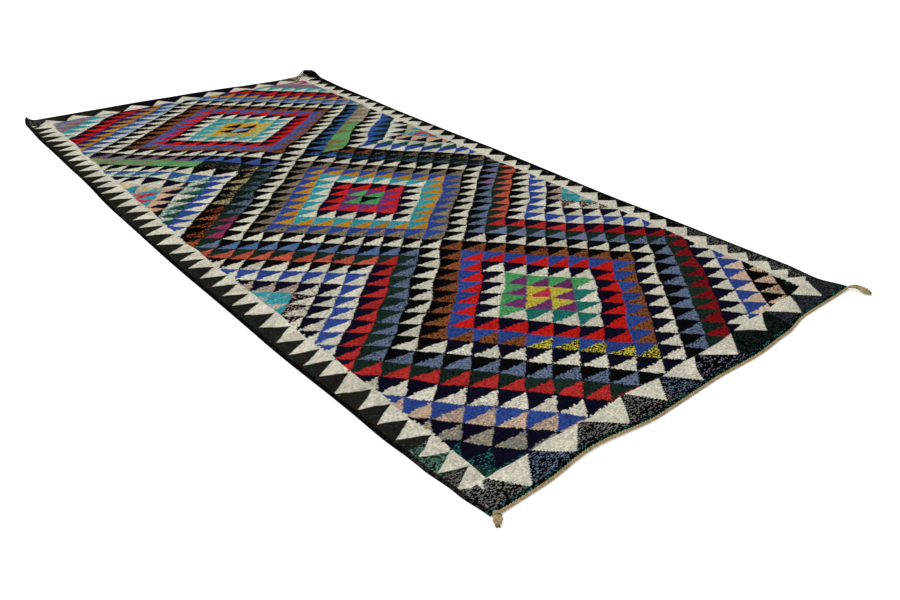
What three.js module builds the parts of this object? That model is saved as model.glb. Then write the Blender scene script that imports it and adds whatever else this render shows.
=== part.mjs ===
// A flat-woven wool kilim rug lying on the floor, in millimetres, +Z up.
// The origin is on the underside, under the middle of the rug. +Y runs along its length to the far end.
import * as THREE from "three";

// Driving dimensions
const CLOTH_WIDTH = 1460; // across the weft, between the nominal side edges
const CLOTH_LENGTH = 2980; // along the warp, without the plaited ends
const CLOTH_THICKNESS = 4; // one layer of weft-faced wool weave
const PLAIT_DIAMETER = 9; // warp ends plaited along each short end
const PIECE_GAP = 0.3; // between the cloth's end and the plait beside it

// Mesh density
const CLOTH_COLUMNS = 26;
const CLOTH_ROWS = 30;
const PLAIT_SIDES = 8;

const HALF_WIDTH = CLOTH_WIDTH / 2;
const HALF_LENGTH = CLOTH_LENGTH / 2;
const PLAIT_RADIUS = PLAIT_DIAMETER / 2;
const PLAIT_TURN = Math.PI / PLAIT_SIDES; // turns a flat of the plait's section down to the floor
const PLAIT_FLAT = PLAIT_RADIUS * Math.cos(PLAIT_TURN); // from the plait's middle to a flat

// How far each side edge stands outside its nominal line, at stations along the length (-1 near, 1 far)
const SIDE_EDGES = [
  { along: -1.0, left: 3, right: -8 },
  { along: -0.94, left: 12, right: -26 },
  { along: -0.87, left: 21, right: -17 },
  { along: -0.77, left: 29, right: -21 },
  { along: -0.45, left: 41, right: -32 },
  { along: -0.1, left: 46, right: -24 },
  { along: 0.2, left: 43, right: -29 },
  { along: 0.5, left: 27, right: -30 },
  { along: 0.77, left: 20, right: -20 },
  { along: 1.0, left: 6, right: -3 },
];

// How far each short end stands outside its nominal line, at stations across the width (-1 left, 1 right)
const END_EDGES = [
  { across: -1.0, near: -18, far: -3 },
  { across: -0.8, near: -17, far: 0 },
  { across: -0.6, near: -27, far: 3 },
  { across: -0.28, near: -2, far: 8 },
  { across: 0.0, near: -2, far: 3 },
  { across: 0.28, near: 8, far: -10 },
  { across: 0.46, near: 3, far: -18 },
  { across: 0.66, near: -14, far: -24 },
  { across: 1.0, near: -11, far: -8 },
];

// Corners that lift a little off the floor: height of the tip, and how far in from the corner the lift starts
const CORNER_LIFTS = [
  { across: -1, along: 1, lift: 2, reach: 95 },
  { across: 1, along: 1, lift: 2.5, reach: 150 },
  { across: -1, along: -1, lift: 1, reach: 60 },
  { across: 1, along: -1, lift: 2, reach: 110 },
];

// Loose tails of the plaits: the way each heads from its corner (degrees from +X), then rows along the tail
// with the distance out from the corner, the rise above the plait there, and the girth as a share of its own
const NEAR_LEFT_TAIL = {
  heading: 232,
  rows: [
    { out: 7, rise: 0, girth: 1.3 },
    { out: 13, rise: 1, girth: 1.8 },
    { out: 20, rise: 2, girth: 2.0 },
    { out: 26, rise: 1.5, girth: 1.5 },
  ],
};
const NEAR_RIGHT_TAIL = {
  heading: -75,
  rows: [
    { out: 10, rise: 3, girth: 0.95 },
    { out: 21, rise: 6, girth: 0.95 },
    { out: 32, rise: 5, girth: 1.2 },
    { out: 43, rise: 3, girth: 1.7 },
    { out: 52, rise: 2, girth: 2.1 },
    { out: 60, rise: 1, girth: 1.8 },
  ],
};
const FAR_LEFT_TAIL = {
  heading: 160,
  rows: [
    { out: 7, rise: 9, girth: 1.0 },
    { out: 12, rise: 20, girth: 1.0 },
    { out: 15, rise: 31, girth: 0.9 },
    { out: 17, rise: 39, girth: 0.65 },
  ],
};
const FAR_RIGHT_TAIL = {
  heading: 15,
  rows: [
    { out: 8, rise: 11, girth: 1.2 },
    { out: 17, rise: 25, girth: 1.25 },
    { out: 26, rise: 37, girth: 1.1 },
    { out: 36, rise: 40, girth: 0.9 },
    { out: 43, rise: 34, girth: 0.7 },
  ],
};

const WOOL = new THREE.MeshStandardMaterial({ color: 0x4a4642, roughness: 0.95, metalness: 0 });
const WARP = new THREE.MeshStandardMaterial({ color: 0xa8946c, roughness: 0.9, metalness: 0 });

// Smooth value of one column of a table, read between the two stations around a place
function readTable(rows, station, column, place) {
  const last = rows.length - 1;
  let i = 0;
  while (i < last - 1 && place > rows[i + 1][station]) i += 1;
  const share = (place - rows[i][station]) / (rows[i + 1][station] - rows[i][station]);
  const eased = (1 - Math.cos(Math.PI * THREE.MathUtils.clamp(share, 0, 1))) / 2;
  return THREE.MathUtils.lerp(rows[i][column], rows[i + 1][column], eased);
}

// Where the cloth lies on the floor, for a place across (-1 left to 1 right) and along (-1 near to 1 far)
function clothPoint(across, along) {
  const left = -HALF_WIDTH - readTable(SIDE_EDGES, "along", "left", along);
  const right = HALF_WIDTH + readTable(SIDE_EDGES, "along", "right", along);
  const near = -HALF_LENGTH - readTable(END_EDGES, "across", "near", across);
  const far = HALF_LENGTH + readTable(END_EDGES, "across", "far", across);
  const x = THREE.MathUtils.lerp(left, right, (across + 1) / 2);
  const y = THREE.MathUtils.lerp(near, far, (along + 1) / 2);
  return new THREE.Vector3(x, y, cornerLift(across, along));
}

// Height of the underside: 0 over the whole rug, rising towards the tip of each corner
function cornerLift(across, along) {
  let height = 0;
  for (const corner of CORNER_LIFTS) {
    const inFromSide = Math.abs(corner.across - across) * HALF_WIDTH;
    const inFromEnd = Math.abs(corner.along - along) * HALF_LENGTH;
    const share = 1 - (inFromSide + inFromEnd) / corner.reach;
    if (share > 0) height += corner.lift * share * share;
  }
  return height;
}

// Spreads even stations from -1 to 1 so that they lie closer together towards both edges
function crowdToEdges(place) {
  return Math.sin((place * Math.PI) / 2);
}

// The woven panel with its selvedges: one sheet of even thickness
function makeCloth() {
  const geometry = new THREE.BoxGeometry(2, 2, CLOTH_THICKNESS, CLOTH_COLUMNS, CLOTH_ROWS, 1);
  const places = geometry.getAttribute("position");
  for (let i = 0; i < places.count; i += 1) {
    const across = crowdToEdges(places.getX(i));
    const along = crowdToEdges(places.getY(i));
    const point = clothPoint(across, along);
    const above = places.getZ(i) + CLOTH_THICKNESS / 2;
    places.setXYZ(i, point.x, point.y, point.z + above);
  }
  geometry.computeVertexNormals();
  const cloth = new THREE.Mesh(geometry, WOOL);
  cloth.name = "kilim_cloth";
  return cloth;
}

// Points of one loose tail, from the corner outwards
function tailPoints(corner, tail) {
  const heading = THREE.MathUtils.degToRad(tail.heading);
  return tail.rows.map((row) => {
    const lowest = PLAIT_FLAT * row.girth;
    const point = new THREE.Vector3(
      corner.x + Math.cos(heading) * row.out,
      corner.y + Math.sin(heading) * row.out,
      Math.max(corner.z + row.rise, lowest),
    );
    return { point, girth: row.girth };
  });
}

// The plait's centre line beside one short end (along is -1 near or 1 far), with a tail past each corner
function plaitLine(along, leftTail, rightTail) {
  const beside = along * (PLAIT_FLAT + PIECE_GAP);
  const run = [];
  for (let column = 0; column <= CLOTH_COLUMNS; column += 1) {
    const across = crowdToEdges((2 * column) / CLOTH_COLUMNS - 1);
    const point = clothPoint(across, along);
    point.y += beside;
    point.z += PLAIT_FLAT;
    run.push({ point, girth: 1 });
  }
  const left = tailPoints(run[0].point, leftTail).reverse();
  const right = tailPoints(run[CLOTH_COLUMNS].point, rightTail);
  return [...left, ...run, ...right];
}

// A round bar bent along a line of points, with a ring of vertices at each point
function makePlait(name, line) {
  const bays = line.length - 1;
  const open = false;
  const geometry = new THREE.CylinderGeometry(
    PLAIT_RADIUS, PLAIT_RADIUS, 1, PLAIT_SIDES, bays, open, PLAIT_TURN,
  );
  const places = geometry.getAttribute("position");
  for (let i = 0; i < places.count; i += 1) {
    const ring = Math.round((places.getY(i) + 0.5) * bays);
    const here = line[ring];
    const before = line[Math.max(ring - 1, 0)].point;
    const after = line[Math.min(ring + 1, bays)].point;
    const forward = new THREE.Vector3().subVectors(after, before).normalize();
    const sideways = new THREE.Vector3(-forward.y, forward.x, 0).normalize();
    const upwards = new THREE.Vector3().crossVectors(forward, sideways);
    const place = here.point.clone();
    place.addScaledVector(sideways, -places.getX(i) * here.girth);
    place.addScaledVector(upwards, places.getZ(i) * here.girth);
    places.setXYZ(i, place.x, place.y, place.z);
  }
  geometry.computeVertexNormals();
  const plait = new THREE.Mesh(geometry, WARP);
  plait.name = name;
  return plait;
}

const rug = new THREE.Group();
rug.add(makeCloth());
rug.add(makePlait("near_end_plait", plaitLine(-1, NEAR_LEFT_TAIL, NEAR_RIGHT_TAIL)));
rug.add(makePlait("far_end_plait", plaitLine(1, FAR_LEFT_TAIL, FAR_RIGHT_TAIL)));

export default rug;
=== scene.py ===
# %% [markdown]
# # A flat-woven kilim rug
# The object is a long wool rug with no pile. Coloured weft covers the warp on both sides, in rows of
# small triangles that build three stepped lozenges. A border of cream teeth runs round them, the sides
# end in a black selvedge, and the warp ends of both short ends are plaited into a cord. The packed
# model gives the frame: metres, +Y along the rug, +Z up, the floor at zero. Everything made here sits
# in that frame, so nothing has to be fitted afterwards.

# %% Load the frame
import math
import random

import bpy
import bmesh
from mathutils import Matrix, Vector


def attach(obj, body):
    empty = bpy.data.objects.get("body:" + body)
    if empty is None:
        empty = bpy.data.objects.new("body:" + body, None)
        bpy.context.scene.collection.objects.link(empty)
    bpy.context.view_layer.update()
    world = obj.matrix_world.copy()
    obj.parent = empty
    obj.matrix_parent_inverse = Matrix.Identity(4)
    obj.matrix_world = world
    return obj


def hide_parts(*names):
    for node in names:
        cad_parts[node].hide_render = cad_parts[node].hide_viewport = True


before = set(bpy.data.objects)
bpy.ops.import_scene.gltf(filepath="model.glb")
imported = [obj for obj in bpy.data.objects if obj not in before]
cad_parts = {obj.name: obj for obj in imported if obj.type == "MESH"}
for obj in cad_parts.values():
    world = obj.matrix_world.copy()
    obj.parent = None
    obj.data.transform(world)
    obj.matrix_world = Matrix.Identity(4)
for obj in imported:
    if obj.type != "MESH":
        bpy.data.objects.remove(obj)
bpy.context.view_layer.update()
bpy.ops.object.select_all(action="DESELECT")
print("nodes in the frame:", sorted(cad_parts))

# %% [markdown]
# ## The camera
# The photograph looks down along the rug from a little over a metre up, near one corner. A camera can be
# aimed by eye, or worked out from the four corners of a rug whose size is known. The second way was
# used here: turn, dip and roll are the three angles that bring the corners to where they are in the
# picture.

# %% Camera at the photograph's angle
CAMERA_PLACE = Vector((-1.516, -2.211, 1.111))
CAMERA_TURN = math.radians(41.81)
CAMERA_DIP = math.radians(30.47)
CAMERA_ROLL = math.radians(2.01)
CAMERA_LENS = 31.13

level_ahead = Vector((math.sin(CAMERA_TURN), math.cos(CAMERA_TURN), 0))
ahead = level_ahead * math.cos(CAMERA_DIP) - Vector((0, 0, math.sin(CAMERA_DIP)))
sideways = Vector((math.cos(CAMERA_TURN), -math.sin(CAMERA_TURN), 0))
upwards = sideways.cross(ahead)
picture_right = sideways * math.cos(CAMERA_ROLL) + upwards * math.sin(CAMERA_ROLL)
picture_up = upwards * math.cos(CAMERA_ROLL) - sideways * math.sin(CAMERA_ROLL)

bpy.ops.object.camera_add(location=CAMERA_PLACE)
camera = bpy.context.object
camera.name = "photo_camera"
camera.rotation_euler = Matrix((picture_right, picture_up, -ahead)).transposed().to_euler()
camera.data.lens = CAMERA_LENS
bpy.context.scene.camera = camera
print("camera at", tuple(CAMERA_PLACE), "lens", CAMERA_LENS)

# %% [markdown]
# ## Floor and light
# The rug lies on a plain white studio floor with hardly any shadow. That needs light from all round, so
# the sky does most of the work, and one large soft lamp from the left gives the ribs of the weave a
# side to be lit from. The floor glows a little, as a lit table does: that is painted light, which keeps
# it white right up to the rug, where the rug's shadow would fall, and out to the corners of the picture.
# The view transform is the plain one, so that wool colours come out as they were mixed.

# %% Floor
FLOOR_SIZE = 40.0
FLOOR_DROP = 0.0004
FLOOR_CLOUDS = 0.6
FLOOR_TONES = (0.97, 0.99)
FLOOR_GLOW = 0.22
FLOOR_ROUGHNESS = 0.9
FLOOR_GLOSS = 0.1

bpy.ops.mesh.primitive_plane_add(size=FLOOR_SIZE, location=(0, 0, -FLOOR_DROP))
floor = bpy.context.object
floor.name = "studio_floor"

floor_paint = bpy.data.materials.new("studio_white")
floor_paint.use_nodes = True
paint_nodes = floor_paint.node_tree.nodes
paint_links = floor_paint.node_tree.links
paint = paint_nodes["Principled BSDF"]
floor_place = paint_nodes.new("ShaderNodeTexCoord")
floor_cloud = paint_nodes.new("ShaderNodeTexNoise")
floor_cloud.inputs["Scale"].default_value = FLOOR_CLOUDS
floor_tone = paint_nodes.new("ShaderNodeMapRange")
floor_tone.inputs["To Min"].default_value = FLOOR_TONES[0]
floor_tone.inputs["To Max"].default_value = FLOOR_TONES[1]
paint_links.new(floor_place.outputs["Object"], floor_cloud.inputs["Vector"])
paint_links.new(floor_cloud.outputs["Fac"], floor_tone.inputs["Value"])
paint_links.new(floor_tone.outputs["Result"], paint.inputs["Base Color"])
# painted light: the floor glows, which fills in the rug's shadow on it
paint.inputs["Emission Color"].default_value = (1, 1, 1, 1)
paint.inputs["Emission Strength"].default_value = FLOOR_GLOW
paint.inputs["Roughness"].default_value = FLOOR_ROUGHNESS
paint.inputs["Specular IOR Level"].default_value = FLOOR_GLOSS
floor.data.materials.append(floor_paint)
print("floor", FLOOR_SIZE, "m wide")

# %% Light
SKY_STRENGTH = 0.90
LAMP_PLACE = Vector((-2.4, 1.0, 4.6))
LAMP_TARGET = Vector((0, 0, 0))
LAMP_WIDTH = 4.0
LAMP_POWER = 150

sky = bpy.data.worlds.new("studio_sky")
sky.use_nodes = True
sky.node_tree.nodes["Background"].inputs["Color"].default_value = (1, 1, 1, 1)
sky.node_tree.nodes["Background"].inputs["Strength"].default_value = SKY_STRENGTH
bpy.context.scene.world = sky

bpy.ops.object.light_add(type="AREA", location=LAMP_PLACE)
lamp = bpy.context.object
lamp.name = "soft_lamp"
lamp.rotation_euler = (LAMP_TARGET - LAMP_PLACE).to_track_quat("-Z", "Y").to_euler()
lamp.data.size = LAMP_WIDTH
lamp.data.energy = LAMP_POWER
bpy.context.scene.view_settings.view_transform = "Standard"
print("sky", SKY_STRENGTH, "and one lamp of", LAMP_POWER, "W")

# %% [markdown]
# ## The outline
# A hand-woven rug is never a true rectangle. Its sides bow where the weaver pulled the weft tighter or
# looser, and its ends wander. Two short tables say how far each edge stands outside a rectangle, the
# same as in the solids, and values between their stations are eased so that the edges stay smooth.

# %% Edges of the cloth
HALF_WIDTH = 0.730
HALF_LENGTH = 1.490

# columns of the two tables, after the station in the first one
LEFT_OUT, RIGHT_OUT = 1, 2
NEAR_OUT, FAR_OUT = 1, 2
# along the rug from -1, near, to 1, far: then the left and the right edge's distance outside the rectangle
SIDE_EDGES = (
    (-1.00, 0.003, -0.008), (-0.94, 0.012, -0.026), (-0.87, 0.021, -0.017), (-0.77, 0.029, -0.021),
    (-0.45, 0.041, -0.032), (-0.10, 0.046, -0.024), (0.20, 0.043, -0.029), (0.50, 0.027, -0.030),
    (0.77, 0.020, -0.020), (1.00, 0.006, -0.003),
)
# across the rug from -1, left, to 1, right: then the near and the far edge's distance outside the rectangle
END_EDGES = (
    (-1.00, -0.018, -0.003), (-0.80, -0.017, 0.000), (-0.60, -0.027, 0.003), (-0.28, -0.002, 0.008),
    (0.00, -0.002, 0.003), (0.28, 0.008, -0.010), (0.46, 0.003, -0.018), (0.66, -0.014, -0.024),
    (1.00, -0.011, -0.008),
)


def mixed(first, second, share):
    return first + (second - first) * share


def eased(rows, place, column):
    """A column of a table, read smoothly between the two stations around a place."""
    here = rows[0]
    there = rows[1]
    for row, after in zip(rows, rows[1:]):
        if place >= row[0]:
            here = row
            there = after
    share = min(max((place - here[0]) / (there[0] - here[0]), 0), 1)
    return mixed(here[column], there[column], (1 - math.cos(math.pi * share)) / 2)


def flat_place(across, along):
    """Where a point of the cloth lies when the cloth is flat, for shares from -1 to 1."""
    left = -HALF_WIDTH - eased(SIDE_EDGES, along, LEFT_OUT)
    right = HALF_WIDTH + eased(SIDE_EDGES, along, RIGHT_OUT)
    near = -HALF_LENGTH - eased(END_EDGES, across, NEAR_OUT)
    far = HALF_LENGTH + eased(END_EDGES, across, FAR_OUT)
    return Vector((mixed(left, right, (across + 1) / 2), mixed(near, far, (along + 1) / 2)))


print("corners:", [tuple(round(c, 3) for c in flat_place(a, b)) for a in (-1, 1) for b in (-1, 1)])

# %% [markdown]
# ## How it lies
# The rug lies flat, but its corners do not. The two far corners have been rolled and have kept the
# curl: one stands up like an ear and the other has rolled right over. The near ones lift a little.
# Curling is a bend round a line across the corner, so each corner has a fold line at its own reach and
# a roll of its own radius. A dozen low swells, most of them near the edges and none over three
# millimetres high, keep the rest from looking like a board.

# %% Corner rolls and low swells
# across and along name the corner; reach is where the fold line meets the edges; radius is that of the roll
CORNER_ROLLS = (
    {"across": -1, "along": 1, "reach": 0.053, "radius": 0.022},
    {"across": 1, "along": 1, "reach": 0.109, "radius": 0.022},
    {"across": -1, "along": -1, "reach": 0.060, "radius": 0.400},
    {"across": 1, "along": -1, "reach": 0.110, "radius": 0.800},
)
# x and y of the middle, half width, half length, height
SWELLS = (
    (-0.70, -0.95, 0.10, 0.22, 0.0022), (-0.73, -0.35, 0.12, 0.25, 0.0018),
    (-0.70, 0.30, 0.10, 0.30, 0.0026), (-0.71, 0.95, 0.09, 0.20, 0.0020),
    (0.68, -0.80, 0.11, 0.24, 0.0022), (0.68, 0.05, 0.10, 0.28, 0.0018),
    (0.66, 0.85, 0.10, 0.22, 0.0024), (-0.38, -1.46, 0.20, 0.09, 0.0022),
    (0.30, -1.46, 0.22, 0.10, 0.0018), (0.15, 1.46, 0.25, 0.09, 0.0024),
    (-0.10, 0.40, 0.30, 0.16, 0.0012), (0.20, -0.55, 0.28, 0.18, 0.0012),
)


def swell_height(x, y):
    height = 0.0
    for middle_x, middle_y, wide, long, lift in SWELLS:
        away = ((x - middle_x) / wide) ** 2 + ((y - middle_y) / long) ** 2
        if away < 1:
            height += lift * (1 - away) ** 2
    return height


def lay(place):
    """The underside's point for a flat place, and the way the cloth's face looks there."""
    point = Vector((place.x, place.y, swell_height(place.x, place.y)))
    facing = Vector((0, 0, 1))
    for roll in CORNER_ROLLS:
        corner = flat_place(roll["across"], roll["along"])
        outward = Vector((roll["across"], roll["along"])).normalized()
        past = (place - corner).dot(outward) + roll["reach"] / math.sqrt(2)
        if past > 0:
            turned = past / roll["radius"]
            slid = outward * (roll["radius"] * math.sin(turned) - past)
            point += Vector((slid.x, slid.y, roll["radius"] * (1 - math.cos(turned))))
            tilt = outward * math.sin(turned)
            facing = Vector((-tilt.x, -tilt.y, math.cos(turned)))
    return point, facing


for roll in CORNER_ROLLS:
    tip = lay(flat_place(roll["across"], roll["along"]))[0]
    print("corner", roll["across"], roll["along"], "tip at", [round(c, 3) for c in tip])

# %% [markdown]
# ## The cloth
# One layer of weft-faced weave, about 4 mm thick, with a fatter corded selvedge down each side. Cloth
# simulation would only flatten it, so the sheet is a grid laid by the function above, its lines closer
# together near the edges, where the curls are. Solidify then gives it thickness upwards from the floor,
# a vertex group makes it fatter along the selvedges, and a small bevel rounds the rim. Two UV maps are
# kept on it. The first is the flat cloth in metres, which the woven pattern follows into every curl.
# The second says how far each point is from the side and from the end.

# %% Grid laid on the floor
GRID_COLUMNS = 140
GRID_ROWS = 288
EVENNESS = 0.6


def crowd_to_edges(place):
    return EVENNESS * place + (1 - EVENNESS) * math.sin(place * math.pi / 2)


bpy.ops.mesh.primitive_grid_add(
    x_subdivisions=GRID_COLUMNS, y_subdivisions=GRID_ROWS, size=2, calc_uvs=False,
)
cloth = bpy.context.object
cloth.name = "kilim_weave"
mesh = cloth.data

flat_places = []
edge_gaps = []
for vertex in mesh.vertices:
    across = crowd_to_edges(vertex.co.x)
    along = crowd_to_edges(vertex.co.y)
    place = flat_place(across, along)
    flat_places.append(place)
    edge_gaps.append(((1 - abs(across)) * HALF_WIDTH, (1 - abs(along)) * HALF_LENGTH))
    vertex.co = lay(place)[0]

flat_map = mesh.uv_layers.new(name="flat_cloth")
edge_map = mesh.uv_layers.new(name="edge_gaps")
for loop in mesh.loops:
    flat_map.data[loop.index].uv = flat_places[loop.vertex_index]
    edge_map.data[loop.index].uv = edge_gaps[loop.vertex_index]
print("cloth grid of", len(mesh.polygons), "faces")

# %% Thickness, selvedge and rim
SELVEDGE_THICKNESS = 0.0058
CLOTH_THICKNESS = 0.0040
SELVEDGE_WIDTH = 0.008
RIM_ROUND = 0.0014
RIM_SEGMENTS = 2
RIM_ANGLE = math.radians(55)

thick = cloth.vertex_groups.new(name="thickness")
body_share = CLOTH_THICKNESS / SELVEDGE_THICKNESS
for index, (side_gap, _) in enumerate(edge_gaps):
    thick.add([index], 1.0 if side_gap < SELVEDGE_WIDTH else body_share, "REPLACE")

solid = cloth.modifiers.new("thickness", "SOLIDIFY")
solid.thickness = SELVEDGE_THICKNESS
solid.offset = 1
solid.vertex_group = "thickness"
rim = cloth.modifiers.new("rim", "BEVEL")
rim.width = RIM_ROUND
rim.segments = RIM_SEGMENTS
rim.limit_method = "ANGLE"
rim.angle_limit = RIM_ANGLE
for modifier in ("thickness", "rim"):
    bpy.ops.object.modifier_apply(modifier=modifier)
bpy.ops.object.shade_smooth()
cloth.vertex_groups.clear()
mesh = cloth.data
print("cloth of", len(mesh.polygons), "faces, highest point", round(max(v.co.z for v in mesh.vertices), 4))

# %% [markdown]
# ## A map for baking
# When the finished rug is exported, its colours are baked onto a flat picture. The face and the back of
# the cloth lie side by side on it, and the rim gets thin strips between and beside them. Which is which
# can be read from the flat map: a face's loop runs one way round on the top, the other way on the back,
# and has no area on the rim.

# %% Face, back and rim side by side
MAP_WIDTH = 1.56
MAP_LENGTH = 3.04
LEAST_AREA = 1e-7
# shares of the picture: the corner and the size of the face on it, and where the strips of the rim start
FACE_LEFT, FACE_LOW = 0.006, 0.020
FACE_WIDTH, FACE_HEIGHT = 0.478, 0.960
LEFT_STRIP, RIGHT_STRIP = 0.488, 0.506
NEAR_STRIP, FAR_STRIP = 0.004, 0.988
SIDE_STRIP_WIDTH = 0.006
END_STRIP_HEIGHT = 0.008


def turning_area(corners):
    """Area of a face on the flat map: positive one way round, negative the other."""
    return sum(a.x * b.y - b.x * a.y for a, b in zip(corners, corners[1:] + corners[:1])) / 2


bake_map = mesh.uv_layers.new(name="OFBake")
flat_map = mesh.uv_layers["flat_cloth"]
edge_map = mesh.uv_layers["edge_gaps"]
counts = {"face": 0, "back": 0, "rim": 0}
for polygon in mesh.polygons:
    corners = [flat_map.data[i].uv.copy() for i in polygon.loop_indices]
    area = turning_area(corners)
    kind = "face" if area > LEAST_AREA else "back" if area < -LEAST_AREA else "rim"
    counts[kind] += 1
    for i, corner in zip(polygon.loop_indices, corners):
        u = FACE_LEFT + FACE_WIDTH * (corner.x / MAP_WIDTH + 0.5)
        v = FACE_LOW + FACE_HEIGHT * (corner.y / MAP_LENGTH + 0.5)
        height = min(mesh.vertices[mesh.loops[i].vertex_index].co.z / SELVEDGE_THICKNESS, 1)
        side_gap, end_gap = edge_map.data[i].uv
        if kind == "back":
            u = 1 - u
        elif kind == "rim" and side_gap < end_gap:
            u = (LEFT_STRIP if corner.x < 0 else RIGHT_STRIP) + SIDE_STRIP_WIDTH * height
        elif kind == "rim":
            v = (NEAR_STRIP if corner.y < 0 else FAR_STRIP) + END_STRIP_HEIGHT * height
        bake_map.data[i].uv = (u, v)
mesh.uv_layers.active = mesh.uv_layers["flat_cloth"]
print("bake map:", counts)

# %% [markdown]
# ## The plaited ends
# When such a rug comes off the loom, its warp ends are plaited into a cord that lies along each short
# end and stops the weft from slipping off. It ends in a loose tail past each corner, knotted or frayed.
# A rope texture on a plain tube would do from far away, but the plait shows at the front of the
# picture, so it is plaited in earnest: three strands that swing from side to side and pass over one
# another, swept along a line beside the cloth.

# %% The line beside each short end
PLAIT_BESIDE = 0.0044
PLAIT_RISE = 0.0036
RUN_STATIONS = 120
NEAR_GIRTH = 0.95
FAR_GIRTH = 0.60
# the near plait leaves the cloth's end this far inside the rectangle's left edge
LEAVES_EDGE = 0.010


def plait_run(along, girth):
    """Stations beside one short end: place, facing and girth."""
    stations = []
    for step in range(RUN_STATIONS + 1):
        across = crowd_to_edges(2 * step / RUN_STATIONS - 1)
        place = flat_place(across, along) + Vector((0, along * PLAIT_BESIDE))
        point, facing = lay(place)
        stations.append((point + facing * PLAIT_RISE * girth, facing, girth))
    return stations


near_run = [station for station in plait_run(-1, NEAR_GIRTH) if station[0].x > LEAVES_EDGE - HALF_WIDTH]
far_run = plait_run(1, FAR_GIRTH)
print("stations beside the ends:", len(near_run), "near,", len(far_run), "far")

# %% Loose tails past the corners
def tail_stations(start, tail):
    """Stations of a loose tail, from its start outwards."""
    heading = math.radians(tail["heading"])
    way = Vector((math.cos(heading), math.sin(heading), 0))
    stations = []
    for out, rise, girth in tail["rows"]:
        point = start + way * out + Vector((0, 0, rise))
        point.z = max(point.z, PLAIT_RISE * girth)
        stations.append((point, Vector((0, 0, 1)), girth))
    return stations


# heading in degrees from +X, then rows of the way out from the start, the rise above it and the girth
NEAR_LEFT_TAIL = {
    "heading": 228,
    "rows": ((0.006, 0.001, 1.5), (0.012, 0.002, 2.0), (0.018, 0.002, 2.3), (0.024, 0.001, 2.1),
             (0.028, 0.001, 1.3)),
}
NEAR_RIGHT_TAIL = {
    "heading": -75,
    "rows": ((0.008, 0.004, 1.6), (0.018, 0.007, 1.8), (0.028, 0.007, 2.0), (0.038, 0.004, 2.3),
             (0.047, 0.001, 2.6), (0.053, 0.001, 2.2), (0.057, 0.001, 1.4)),
}
FAR_LEFT_TAIL = {
    "heading": 160,
    "rows": ((0.002, 0.002, 0.6), (0.003, 0.004, 0.5)),
}
FAR_RIGHT_TAIL = {
    "heading": -30,
    "rows": ((0.006, 0.002, 0.6), (0.012, 0.000, 0.5), (0.016, -0.006, 0.4)),
}

near_line = tail_stations(near_run[0][0], NEAR_LEFT_TAIL)[::-1] + near_run
near_line += tail_stations(near_run[-1][0], NEAR_RIGHT_TAIL)
far_line = tail_stations(far_run[0][0], FAR_LEFT_TAIL)[::-1] + far_run
far_line += tail_stations(far_run[-1][0], FAR_RIGHT_TAIL)
print("stations with tails:", len(near_line), "near,", len(far_line), "far")

# %% Even steps along a line
STRAND_STEP = 0.0025


def between(before, here, there, after, share):
    """A smooth value between two stations that also looks at their neighbours."""
    bend = 2 * before - 5 * here + 4 * there - after
    turn = 3 * here - before - 3 * there + after
    return here + (there - before) * (share / 2) + bend * (share ** 2 / 2) + turn * (share ** 3 / 2)


def even_steps(stations):
    """Points, facings and girths at even steps, and how far along each one is."""
    steps = []
    along = 0.0
    for i in range(len(stations) - 1):
        here = stations[i]
        there = stations[i + 1]
        before = stations[max(i - 1, 0)]
        after = stations[min(i + 2, len(stations) - 1)]
        span = (there[0] - here[0]).length
        count = max(round(span / STRAND_STEP), 1)
        for part in range(count):
            share = part / count
            point = between(before[0], here[0], there[0], after[0], share)
            facing = here[1].lerp(there[1], share).normalized()
            steps.append((point, facing, mixed(here[2], there[2], share), along + span * share))
        along += span
    steps.append((*stations[-1], along))
    return steps


near_steps = even_steps(near_line)
far_steps = even_steps(far_line)
print("plaits", round(near_steps[-1][3], 3), "m and", round(far_steps[-1][3], 3), "m long")

# %% A yarn swept along points
YARN_SIDES = 7
# a yarn this close to upright, by the sine of its lean, takes its side from +Y instead of +Z
UPRIGHT = 0.05


def sweep_yarn(shape, uv, points, radii, tint):
    """Adds one round yarn with closed ends; its map runs along it in metres and once around it."""
    rings = []
    marks = []
    along = 0.0
    for i, point in enumerate(points):
        before = points[max(i - 1, 0)]
        after = points[min(i + 1, len(points) - 1)]
        forward = (after - before).normalized()
        side = forward.cross(Vector((0, 0, 1)))
        if side.length < UPRIGHT:
            side = forward.cross(Vector((0, 1, 0)))
        side.normalize()
        rise = side.cross(forward)
        if i:
            along += (point - points[i - 1]).length
        ring = []
        for corner in range(YARN_SIDES):
            angle = 2 * math.pi * corner / YARN_SIDES
            out = (side * math.cos(angle) + rise * math.sin(angle)) * radii[i]
            ring.append(shape.verts.new(point + out))
        rings.append(ring)
        marks.append(along)
    for i in range(len(rings) - 1):
        for corner in range(YARN_SIDES):
            after = (corner + 1) % YARN_SIDES
            here = rings[i]
            there = rings[i + 1]
            face = shape.faces.new((here[corner], here[after], there[after], there[corner]))
            around = (corner / YARN_SIDES, (corner + 1) / YARN_SIDES)
            lengths = (marks[i], marks[i], marks[i + 1], marks[i + 1])
            turns = (around[0], around[1], around[1], around[0])
            for loop, u, v in zip(face.loops, lengths, turns):
                loop[uv].uv = (u + tint, v)
    for ring, mark, turned in ((rings[0], marks[0], True), (rings[-1], marks[-1], False)):
        cap = shape.faces.new(ring[::-1] if turned else ring)
        for loop in cap.loops:
            loop[uv].uv = (mark + tint, 0.5)


print("a yarn has", YARN_SIDES, "sides")

# %% Three strands over and under
STRANDS = 3
STRAND_RADIUS = 0.0021
SWING = 0.0026
LIFT = 0.0013
PLAIT_PITCH = 0.026
TINT_STEP = 10.0


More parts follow.
